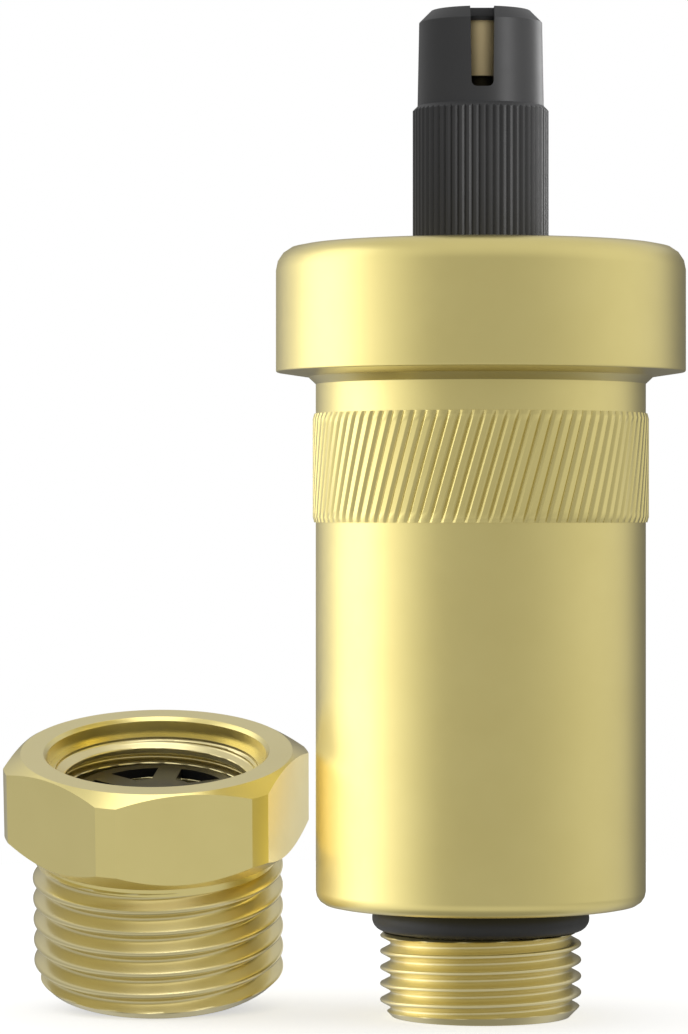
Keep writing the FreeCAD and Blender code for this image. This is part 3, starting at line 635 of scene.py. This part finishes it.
hexagon = solid(turned("adapter_hexagon", [
    (MALE_NECK_RADIUS, HEX_NECK_BOTTOM),
    (HEX_NECK_RADIUS, HEX_NECK_BOTTOM),
    (HEX_NECK_RADIUS, HEX_BOTTOM),
    (HEX_BASE_RADIUS, HEX_BOTTOM, HEX_BASE_FILLET),
    (HEX_TURNED_RADIUS, HEX_BOTTOM + HEX_LOWER_CHAMFER),
    (HEX_TURNED_RADIUS, ADAPTER_TOP - HEX_UPPER_CHAMFER),
    (HEX_TOP_RADIUS, ADAPTER_TOP),
    (RING_SEAT_RADIUS + MOUTH_CHAMFER, ADAPTER_TOP, MOUTH_FILLET),
    (RING_SEAT_RADIUS, ADAPTER_TOP - MOUTH_CHAMFER, MOUTH_FILLET),
    (RING_SEAT_RADIUS, RING_SEAT_BOTTOM),
    (SOCKET_WALL_RADIUS, RING_SEAT_BOTTOM),
    (SOCKET_WALL_RADIUS, SOCKET_BOTTOM),
    (MALE_NECK_RADIUS, SOCKET_BOTTOM),
], steps=HEX_STEPS))
prism_radius = HEX_WIDTH / 2 / cos(pi / 6)
prism_top = ADAPTER_TOP * 2
prism = skin("hexagon_prism", [ring(0, 0), ring(prism_radius, 0, 6, HEX_YAW),
                               ring(prism_radius, prism_top, 6, HEX_YAW), ring(0, prism_top)])
combine(hexagon, solid(prism), "INTERSECT")
dress(hexagon, "adapter", "adapter_body", "adapter_brass", ADAPTER, sharp=12)

male = solid(threaded_tube("adapter_male_thread", MALE_RADIUS, MALE_PITCH, MALE_TOP, OUTLET_RADIUS,
                           MALE_LOWER_RIM, MALE_UPPER_RIM, MALE_STEPS))
dress(male, "adapter", "adapter_body", "turned_brass", ADAPTER, sharp=50)

lining = solid(turned("adapter_lining", [
    (OUTLET_RADIUS, OUTLET_CHAMFER),
    (OUTLET_RADIUS, LEDGE_BOTTOM),
    (LEDGE_RADIUS, LEDGE_BOTTOM),
    (LEDGE_RADIUS, LEDGE_TOP),
    (SPRING_BORE_RADIUS, LEDGE_TOP),
    (SPRING_BORE_RADIUS, SOCKET_FLOOR),
    (RELIEF_RADIUS, SOCKET_FLOOR),
    (RELIEF_RADIUS, SOCKET_BOTTOM),
    (MALE_NECK_RADIUS, SOCKET_BOTTOM),
    (MALE_NECK_RADIUS, OUTLET_CHAMFER),
]))
dress(lining, "adapter", "adapter_body", "adapter_brass", ADAPTER)

socket = solid(socket_lining("adapter_socket_thread"))
dress(socket, "adapter", "adapter_body", "turned_brass", ADAPTER, sharp=50)


# White table, in metres

TABLE_RADIUS = 0.16
TABLE_SIDES = 96
TABLE_GLOW = 0.58
TABLE_DROP = 0.00002


def white_table():
    """A disc under the object, which glows a little to the camera, so that it is pale. Reflections don't
    show it, and the studio's table stands in for it there."""
    mesh = bpy.data.meshes.new("studio_floor")
    work = bmesh.new()
    bmesh.ops.create_circle(work, cap_ends=True, radius=TABLE_RADIUS, segments=TABLE_SIDES)
    work.to_mesh(mesh)
    work.free()
    material = finish("studio_floor", (0.75, 0.75, 0.75), (0.74, 0.74, 0.74), roughness=0.9, grain=60,
                      bump=0.0)
    tree = material.node_tree
    surface = tree.nodes["Principled BSDF"]
    ray = node(tree, "ShaderNodeLightPath")
    glow = calculate(tree, "MULTIPLY", ray.outputs["Is Camera Ray"], TABLE_GLOW)
    tree.links.new(glow, surface.inputs["Emission Strength"])
    surface.inputs["Emission Color"].default_value = (1, 1, 1, 1)
    mesh.materials.append(material)
    item = solid(mesh)
    item.location.z = cad_box[0][2] - TABLE_DROP
    item.visible_glossy = False
    return item


studio_floor = white_table()


# Studio around the object. Each pair is the start and end of a change, measured on directions of length 1.

WALL_LIGHT = 0.46
CEILING_LIGHT = 0.66
CEILING_RISE = (0.1, 0.8)
RIGHT_WALL_LIGHT = 0.37
RIGHT_WALL_RISE = (-0.3, 0.05)
RIGHT_WALL_POWER = 3
TABLE_LIGHT = 0.2
TABLE_RISE = (0.15, 0.5)
UNDERSIDE_LIGHT = -0.15
UNDERSIDE_RISE = (0.7, 0.95)
FLAG_AZIMUTH = radians(75)
FLAG_EDGE = (0.6, 1.0)
FLAG_SHADE = 0.3
FLAG_TOP = (0.15, 0.5)


def brightness(tree):
    """The brightness in each direction: even walls, a brighter ceiling, more light from the right, a table
    and a dark flag behind on the right"""
    around = node(tree, "ShaderNodeTexCoord")
    parts = node(tree, "ShaderNodeSeparateXYZ")
    tree.links.new(around.outputs["Generated"], parts.inputs["Vector"])
    x, y, z = (parts.outputs[axis] for axis in "XYZ")
    rightward = calculate(tree, "POWER", calculate(tree, "MAXIMUM", x, 0), RIGHT_WALL_POWER)
    right_height = graded(tree, z, *RIGHT_WALL_RISE, 0.0, RIGHT_WALL_LIGHT)
    right_wall = calculate(tree, "MULTIPLY", rightward, right_height)
    down = calculate(tree, "MULTIPLY", z, -1)
    table = calculate(tree, "ADD", graded(tree, down, *TABLE_RISE, 0.0, TABLE_LIGHT),
                      graded(tree, down, *UNDERSIDE_RISE, 0.0, UNDERSIDE_LIGHT - TABLE_LIGHT))
    upper = calculate(tree, "ADD", graded(tree, z, *CEILING_RISE, WALL_LIGHT, CEILING_LIGHT), table)
    level = calculate(tree, "ADD", right_wall, upper)
    behind = calculate(tree, "ADD", calculate(tree, "MULTIPLY", x, cos(FLAG_AZIMUTH)),
                       calculate(tree, "MULTIPLY", y, sin(FLAG_AZIMUTH)))
    flag = graded(tree, behind, *FLAG_EDGE, 1.0, FLAG_SHADE)
    over = graded(tree, z, *FLAG_TOP, 0.0, 1.0)
    return calculate(tree, "MULTIPLY", level, calculate(tree, "MAXIMUM", flag, over))


# The camera sees plain white instead of the studio
world = bpy.data.worlds.new("studio")
bpy.context.scene.world = world
world.use_nodes = True
sky = world.node_tree
walls = sky.nodes["Background"]
sky.links.new(brightness(sky), walls.inputs["Strength"])
walls.inputs["Color"].default_value = (1, 1, 1, 1)
backdrop = node(sky, "ShaderNodeBackground", Strength=1.0)
backdrop.inputs["Color"].default_value = (1, 1, 1, 1)
ray = node(sky, "ShaderNodeLightPath")
mix = node(sky, "ShaderNodeMixShader")
sky.links.new(ray.outputs["Is Camera Ray"], mix.inputs["Fac"])
sky.links.new(walls.outputs["Background"], mix.inputs[1])
sky.links.new(backdrop.outputs["Background"], mix.inputs[2])
sky.links.new(mix.outputs["Shader"], sky.nodes["World Output"].inputs["Surface"])


# Softboxes, in metres

VENT_MIDDLE = (0, 0, 0.0416)
VENT_TARGET = (0, 0, 0.042)
CAP_TARGET = (0, 0, 0.075)
ADAPTER_TARGET = (-0.027, 0, 0.01)
LEFT_WALL_DISTANCE = 0.4
LEFT_WALL_SIZE = 1.2
LEFT_WALL_RADIANCE = 1.10
PANEL_MIDDLE = (0.5, 0.5, 0)


def chosen(name, pieces, state):
    """A collection that includes or excludes pieces from a light"""
    group = bpy.data.collections.new(name)
    for piece in pieces:
        group.objects.link(piece)
    for entry in group.collection_objects:
        entry.light_linking.link_state = state
    return group


def softbox(name, place, target, size, radiance, lit=(), unlit=(), clear=()):
    """A soft light, which shines on some pieces alone or on all but some, and through the clear ones"""
    lamp = bpy.data.lights.new(name, "AREA")
    lamp.shape = "RECTANGLE"
    lamp.size, lamp.size_y = size
    lamp.energy = radiance * pi * size[0] * size[1]
    item = bpy.data.objects.new(name, lamp)
    bpy.context.scene.collection.objects.link(item)
    item.location = place
    item.rotation_euler = (Vector(target) - Vector(place)).to_track_quat("-Z", "Y").to_euler()
    item.visible_camera = False
    if lit:
        item.light_linking.receiver_collection = chosen(name + "_lit", lit, "INCLUDE")
    if unlit:
        item.light_linking.receiver_collection = chosen(name + "_unlit", unlit, "EXCLUDE")
    if clear:
        item.light_linking.blocker_collection = chosen(name + "_clear", clear, "EXCLUDE")
    return lamp


def fade_outwards(lamp, size, distance):
    """Make a square light fade from its middle outwards, as the fourth power of the cosine of the angle at
    which the vent sees it"""
    lamp.use_nodes = True
    tree = lamp.node_tree
    panel = node(tree, "ShaderNodeNewGeometry")
    offset = node(tree, "ShaderNodeVectorMath", operation="DISTANCE")
    offset.inputs[1].default_value = PANEL_MIDDLE
    tree.links.new(panel.outputs["Parametric"], offset.inputs[0])
    slope = calculate(tree, "MULTIPLY", offset.outputs["Value"], size / distance)
    square = calculate(tree, "MULTIPLY", slope, slope)
    fade = calculate(tree, "POWER", calculate(tree, "ADD", square, 1), -2)
    tree.links.new(fade, tree.nodes["Emission"].inputs["Strength"])


# The photograph shows the vent, its cap and the adapter each in its own light
adapter_pieces = [hexagon, male, lining, socket]
adapter_pieces += [frame["nodes"][name] for name in ("poppet_spider", "poppet_cone", "poppet_o_ring",
                                                     "poppet_spring")]
beside_vent = adapter_pieces + [studio_floor]
left_wall = softbox("left_wall", place=(-LEFT_WALL_DISTANCE, 0, VENT_MIDDLE[2]), target=VENT_MIDDLE,
                    size=(LEFT_WALL_SIZE, LEFT_WALL_SIZE), radiance=LEFT_WALL_RADIANCE,
                    unlit=beside_vent + [cap], clear=beside_vent)
fade_outwards(left_wall, LEFT_WALL_SIZE, LEFT_WALL_DISTANCE)
softbox("left_softbox", place=(-0.70, 0.10, 0.25), target=VENT_TARGET, size=(0.55, 0.9), radiance=0.58,
        unlit=beside_vent + [cap], clear=beside_vent)
softbox("adapter_left", place=(-0.50, 0.05, 0.26), target=ADAPTER_TARGET, size=(0.5, 0.5), radiance=0.9,
        lit=[piece for piece in beside_vent if piece != male])
softbox("thread_top", place=(0.10, -0.05, 0.45), target=ADAPTER_TARGET, size=(0.5, 0.5), radiance=0.5,
        lit=[male], clear=[hexagon, male, lining, socket])
softbox("adapter_top", place=(-0.03, -0.15, 0.50), target=ADAPTER_TARGET, size=(0.3, 0.45), radiance=1.4,
        lit=adapter_pieces)
softbox("adapter_right", place=(0.28, 0.52, 0.05), target=ADAPTER_TARGET, size=(0.4, 0.3), radiance=0.65,
        lit=adapter_pieces, clear=[inlet_thread, casing_shell, band, cover_shell, studio_floor])
softbox("cap_right", place=(0.32, -0.30, 0.08), target=CAP_TARGET, size=(0.16, 0.4), radiance=3.6,
        lit=[cap])
softbox("cap_edge", place=(0.30, 0.34, 0.08), target=CAP_TARGET, size=(0.25, 0.4), radiance=2.6,
        lit=[cap])

bpy.context.scene.view_settings.view_transform = "Standard"


# A level camera, in metres, with a long lens, as in the photograph

CAMERA_PLACE = (-0.01132, -0.3534, 0.0413)
CAMERA_LENS = 148.5
CAMERA_SENSOR = 36

camera_data = bpy.data.cameras.new("camera")
camera_data.lens = CAMERA_LENS
camera_data.sensor_width = CAMERA_SENSOR
camera = bpy.data.objects.new("camera", camera_data)
bpy.context.scene.collection.objects.link(camera)
camera.location = CAMERA_PLACE
camera.rotation_euler = (radians(90), 0, 0)
bpy.context.scene.camera = camera

bpy.context.view_layer.update()
